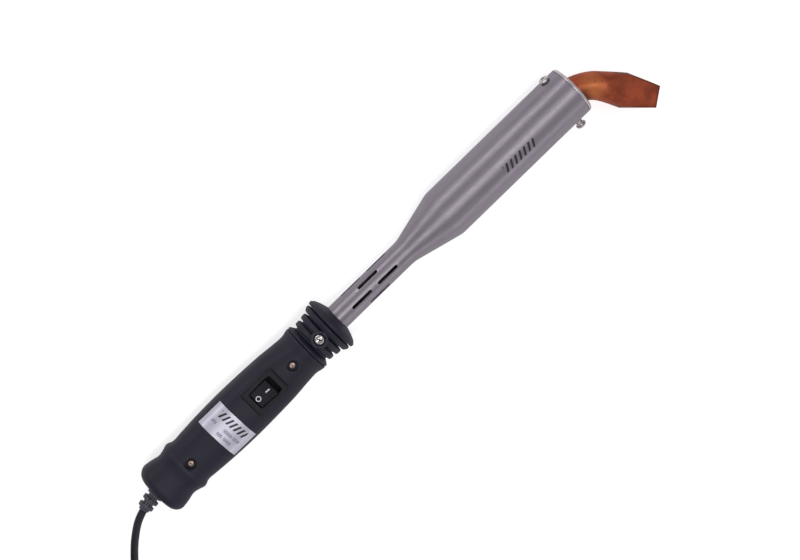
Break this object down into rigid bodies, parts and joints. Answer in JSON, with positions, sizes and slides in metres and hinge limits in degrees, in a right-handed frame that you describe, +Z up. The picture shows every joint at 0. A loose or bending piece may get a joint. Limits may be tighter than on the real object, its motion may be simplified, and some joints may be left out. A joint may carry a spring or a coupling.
{
  "type": "soldering iron",
  "caption": "Corded soldering iron with a bent copper chisel bit held by clamp screws in a steel barrel, a vented neck, a ribbed collar and a moulded handle with a rocker switch.",
  "frame": {"origin": "under the middle of the iron's own bounding box (cord, coil and plug left out), on the surface the collar's guard flange rests on", "axes": "+X along the iron from the cord end to the bit, +Z up out of the switch face, +Y to the left when looking along +X; the bit bends towards -Y"},
  "size_m": [0.5144, 0.0677, 0.0322],
  "materials": {
    "handle_black": "fine matte moulded finish, near black with a bluish cast",
    "switch_black": "satin moulded finish",
    "clamp_bar_black": "moulded",
    "rubber_black": "soft matte PVC",
    "steel_satin": "satin drawn tube with fine lengthwise brushing",
    "screw_bright": "bright zinc plate",
    "screw_bronze": "bronzed steel, dulled",
    "copper_oxidised": "bare copper, heat-oxidised to orange brown, darker at the edges",
    "brass_contact": "bright",
    "ceramic_cream": "unglazed",
    "mica_sheet": "pressed mica sheet",
    "fibre_white": "glass fibre sleeve",
    "nichrome": "dull oxidised resistance alloy",
    "label_foil": "silvery printed foil, faintly lilac",
    "wire_brown": "PVC insulation",
    "wire_blue": "PVC insulation"
  },
  "bodies": {
    "iron_body": {"handle_upper_shell": "handle_black", "handle_lower_shell": "handle_black", "handle_screw_rear": "screw_bronze", "handle_screw_front": "screw_bronze", "label": "label_foil", "switch_housing": "switch_black", "switch_terminal_middle": "brass_contact", "switch_terminal_end": "brass_contact", "strain_relief": "rubber_black", "cord_clamp_bar": "clamp_bar_black", "cord_clamp_screw_left": "screw_bright", "cord_clamp_screw_right": "screw_bright", "cord_inside_handle": "rubber_black", "wire_live_in": "wire_brown", "wire_live_switched": "wire_brown", "wire_neutral": "wire_blue", "splice_live": "brass_contact", "splice_neutral": "brass_contact", "collar": "handle_black", "collar_screw": "screw_bright", "barrel_shell": "steel_satin", "lead_insulator_live": "ceramic_cream", "lead_insulator_neutral": "ceramic_cream", "heater_lead_live": "nichrome", "heater_lead_neutral": "nichrome", "ceramic_rear_disc": "ceramic_cream", "bit_sleeve": "steel_satin", "mica_inner": "mica_sheet", "heater_winding": "nichrome", "mica_outer": "mica_sheet", "fibre_insulation": "fibre_white", "ceramic_front_ring": "ceramic_cream", "front_cap": "steel_satin", "cord_tube": "rubber_black", "cord_coil": "rubber_black", "cord_tie": "rubber_black", "cord_tube_to_plug": "rubber_black", "plug_body": "rubber_black", "plug_blade_left": "brass_contact", "plug_blade_right": "brass_contact"},
    "rocker": {"switch_rocker": "switch_black", "switch_plunger": "brass_contact", "switch_spring": "screw_bright"},
    "contact": {"switch_contact_blade": "brass_contact"},
    "upper_clamp_screw": {"clamp_screw_upper": "screw_bright"},
    "lower_clamp_screw": {"clamp_screw_lower": "screw_bright"},
    "bit": {"copper_bit": "copper_oxidised"}
  },
  "joints": [
    {"name": "rocker_tilt", "type": "hinge", "parent": "iron_body", "child": "rocker", "pos_m": [-0.08428, 0.01092, 0.02401], "axis": [0, 1, 0], "range_deg": [0, 24]},
    {"name": "contact_tilt", "type": "hinge", "parent": "iron_body", "child": "contact", "pos_m": [-0.08428, 0.01092, 0.01731], "axis": [0, 1, 0], "range_deg": [-10, 0]},
    {"name": "bit_slide", "type": "slide", "parent": "iron_body", "child": "bit", "axis": [1, 0, 0], "range_m": [0, 0.075]},
    {"name": "upper_clamp_screw_travel", "type": "slide", "parent": "iron_body", "child": "upper_clamp_screw", "axis": [0, 0.9563, 0.2924], "range_m": [0, 0.004]},
    {"name": "lower_clamp_screw_travel", "type": "slide", "parent": "iron_body", "child": "lower_clamp_screw", "axis": [0, -0.9563, -0.2924], "range_m": [-0.003, 0.001]}
  ],
  "couplings": [
    {"joint": "contact_tilt", "follows": "rocker_tilt", "ratio": -0.41}
  ]
}
